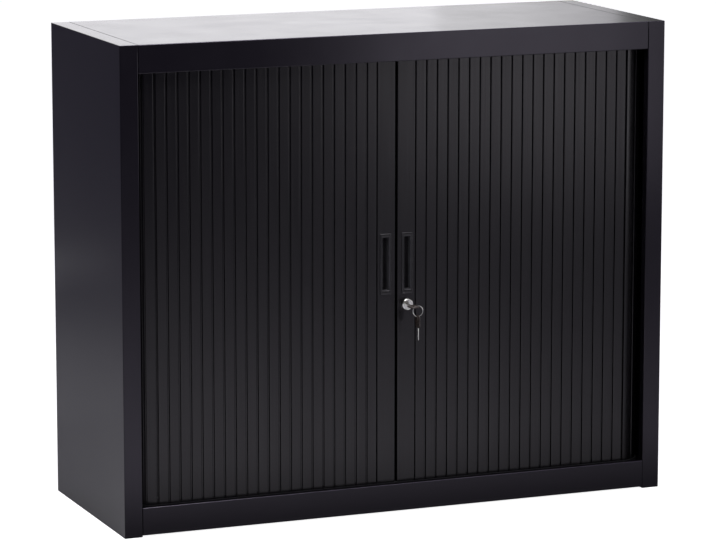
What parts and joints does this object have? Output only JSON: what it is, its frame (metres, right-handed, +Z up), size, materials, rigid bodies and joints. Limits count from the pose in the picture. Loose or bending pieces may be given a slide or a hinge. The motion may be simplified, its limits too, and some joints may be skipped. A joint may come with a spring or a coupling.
{
  "type": "roll front cabinet",
  "caption": "Black steel cabinet closed by two slatted roll-front shutters that slide sideways, with recessed handles, a key lock and shelves.",
  "frame": {"origin": "on the floor, under the middle of the whole object's box, with the key in the lock", "axes": "+X to the right seen from the front, +Y to the back, +Z up"},
  "size_m": [1.2, 0.487, 1],
  "materials": {
    "black_steel": "satin black powder coat",
    "slat_plastic": "satin black extruded plastic",
    "handle_plastic": "fine-textured black moulded plastic",
    "track_plastic": "smooth black extruded plastic",
    "buffer_rubber": "matte black rubber",
    "chrome": "polished chrome plate",
    "zinc_steel": "zinc-plated steel",
    "key_steel": "nickel-plated key blank",
    "key_plastic": "smooth black moulded plastic"
  },
  "bodies": {
    "cabinet": {"left_side_panel": "black_steel", "right_side_panel": "black_steel", "top_panel": "black_steel", "base_panel": "black_steel", "back_panel": "black_steel", "track_carrier": "black_steel", "floor_panel": "black_steel", "floor_caps": "track_plastic", "left_side_lining": "black_steel", "right_side_lining": "black_steel", "rear_lining": "black_steel", "bottom_front_track": "track_plastic", "top_front_track": "track_plastic", "left_bottom_side_track": "track_plastic", "right_bottom_side_track": "track_plastic", "left_top_side_track": "track_plastic", "right_top_side_track": "track_plastic", "centre_stops": "track_plastic", "travel_buffers": "buffer_rubber", "top_screws": "zinc_steel", "lower_shelf": "black_steel", "upper_shelf": "black_steel", "shelf_clips": "zinc_steel", "foot_nuts": "zinc_steel", "left_corner_slats": "slat_plastic", "right_corner_slats": "slat_plastic", "left_tail_slats": "slat_plastic", "right_tail_slats": "slat_plastic"},
    "left_shutter": {"left_lead_slat": "slat_plastic", "left_curtain_slats": "slat_plastic", "left_gliders": "handle_plastic", "left_handle": "handle_plastic", "strike": "zinc_steel", "strike_screws": "zinc_steel"},
    "right_shutter": {"right_lead_slat": "slat_plastic", "right_curtain_slats": "slat_plastic", "right_gliders": "handle_plastic", "right_handle": "handle_plastic", "lock_body": "chrome", "lock_nut": "zinc_steel"},
    "plug": {"lock_plug": "chrome", "lock_cam": "zinc_steel", "cam_screw": "zinc_steel"},
    "key": {"key_blade": "key_steel", "key_bow": "key_plastic"},
    "ring": {"key_ring": "chrome"},
    "spare_key": {"spare_key_blade": "key_steel", "spare_key_bow": "key_plastic"},
    "front_left_foot": {"front_left_foot": "zinc_steel"},
    "front_right_foot": {"front_right_foot": "zinc_steel"},
    "rear_left_foot": {"rear_left_foot": "zinc_steel"},
    "rear_right_foot": {"rear_right_foot": "zinc_steel"}
  },
  "joints": [
    {"name": "left_shutter_slide", "type": "slide", "parent": "cabinet", "child": "left_shutter", "axis": [-1, 0, 0], "range_m": [0, 0.4778], "deforming": ["left_curtain_slats"]},
    {"name": "right_shutter_slide", "type": "slide", "parent": "cabinet", "child": "right_shutter", "axis": [1, 0, 0], "range_m": [0, 0.4778], "deforming": ["right_curtain_slats"]},
    {"name": "lock_turn", "type": "hinge", "parent": "right_shutter", "child": "plug", "pos_m": [0.02225, -0.197, 0.4357], "axis": [0, 1, 0], "range_deg": [0, 90]},
    {"name": "key_slide", "type": "slide", "parent": "plug", "child": "key", "axis": [0, -1, 0], "range_m": [-0.013, 0.0125]},
    {"name": "ring_swing", "type": "hinge", "parent": "key", "child": "ring", "pos_m": [0.02225, -0.233, 0.4357], "axis": [-1, 0, 0], "range_deg": [-15, 15]},
    {"name": "spare_key_swing", "type": "hinge", "parent": "ring", "child": "spare_key", "pos_m": [0.02905, -0.233, 0.41435], "axis": [-1, 0, 0], "range_deg": [-10, 80]},
    {"name": "front_left_foot_screw", "type": "slide", "parent": "cabinet", "child": "front_left_foot", "axis": [0, 0, -1], "range_m": [0, 0.012]},
    {"name": "front_right_foot_screw", "type": "slide", "parent": "cabinet", "child": "front_right_foot", "axis": [0, 0, -1], "range_m": [0, 0.012]},
    {"name": "rear_left_foot_screw", "type": "slide", "parent": "cabinet", "child": "rear_left_foot", "axis": [0, 0, -1], "range_m": [0, 0.012]},
    {"name": "rear_right_foot_screw", "type": "slide", "parent": "cabinet", "child": "rear_right_foot", "axis": [0, 0, -1], "range_m": [0, 0.012]}
  ]
}
